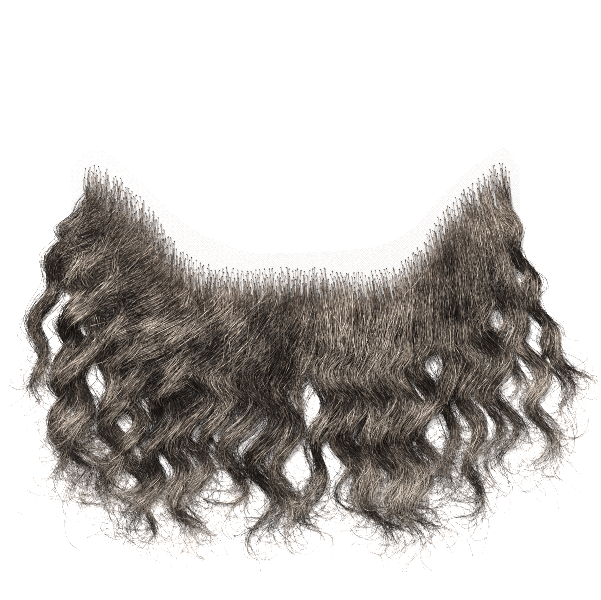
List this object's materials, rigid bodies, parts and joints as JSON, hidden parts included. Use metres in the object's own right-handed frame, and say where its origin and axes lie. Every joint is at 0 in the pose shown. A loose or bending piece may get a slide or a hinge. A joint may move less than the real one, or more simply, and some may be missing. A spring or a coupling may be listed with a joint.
{
  "type": "fake beard",
  "caption": "Full wavy fake beard: brown hair knotted to a fine U-shaped net foundation, lying flat with its hair side up.",
  "frame": {"origin": "on the underside of the net foundation, in the middle of the chin", "axes": "+X across the beard to the right as it is seen, +Y up the face towards the mouth, +Z away from the skin"},
  "size_m": [0.2965, 0.2181, 0.009],
  "materials": {
    "lace": "fine pale net",
    "hair": "wavy grey-brown hair"
  },
  "bodies": {
    "root": {"lace_base": "lace", "hair": "hair"}
  },
  "joints": []
}
